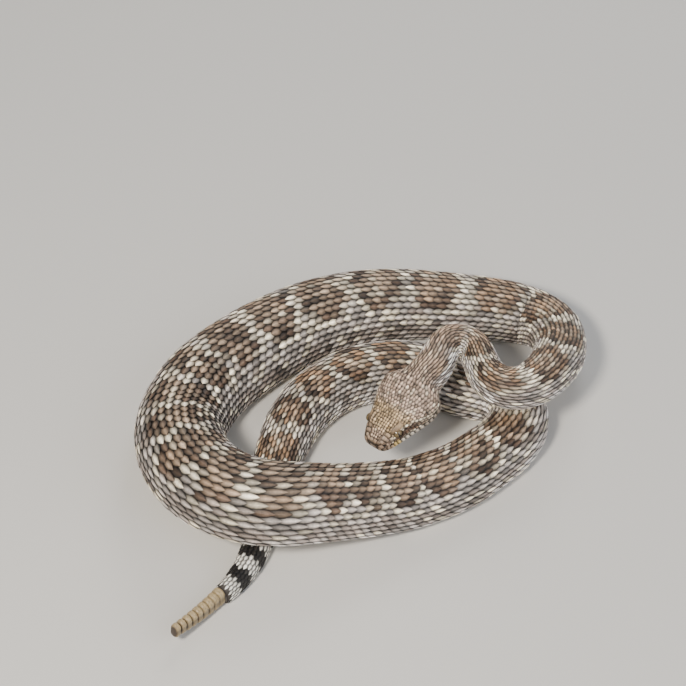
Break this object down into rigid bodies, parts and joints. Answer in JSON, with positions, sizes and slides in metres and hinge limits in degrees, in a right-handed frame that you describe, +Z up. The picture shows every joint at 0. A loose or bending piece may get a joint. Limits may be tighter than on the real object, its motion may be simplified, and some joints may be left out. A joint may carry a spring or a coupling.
{
  "type": "western diamondback rattlesnake model",
  "caption": "Life-size still model of a western diamondback rattlesnake resting in a loose coil, its head held over the gap in the middle and its rattle laid out in front.",
  "frame": {"origin": "on the floor, under the middle of the coil's box", "axes": "+Z up; -Y to the front, where the head points; +X to the right as seen from the front"},
  "size_m": [0.2622, 0.2604, 0.0625],
  "materials": {
    "back_skin": "satin",
    "head_skin": "satin",
    "belly_skin": "satin",
    "tail_skin": "satin",
    "rattle_horn": "satin",
    "eye": "gloss"
  },
  "bodies": {
    "root": {"head": "head_skin", "lower_jaw": "belly_skin", "eye_left": "eye", "eye_right": "eye", "neck": "back_skin", "torso_1": "back_skin", "torso_2": "back_skin", "torso_3": "back_skin", "torso_4": "back_skin", "torso_5": "back_skin", "torso_6": "back_skin", "torso_7": "back_skin", "torso_8": "back_skin", "torso_9": "back_skin", "torso_10": "back_skin", "torso_11": "back_skin", "torso_12": "back_skin", "torso_13": "back_skin", "torso_14": "back_skin", "tail": "tail_skin", "rattle": "rattle_horn"}
  },
  "joints": []
}
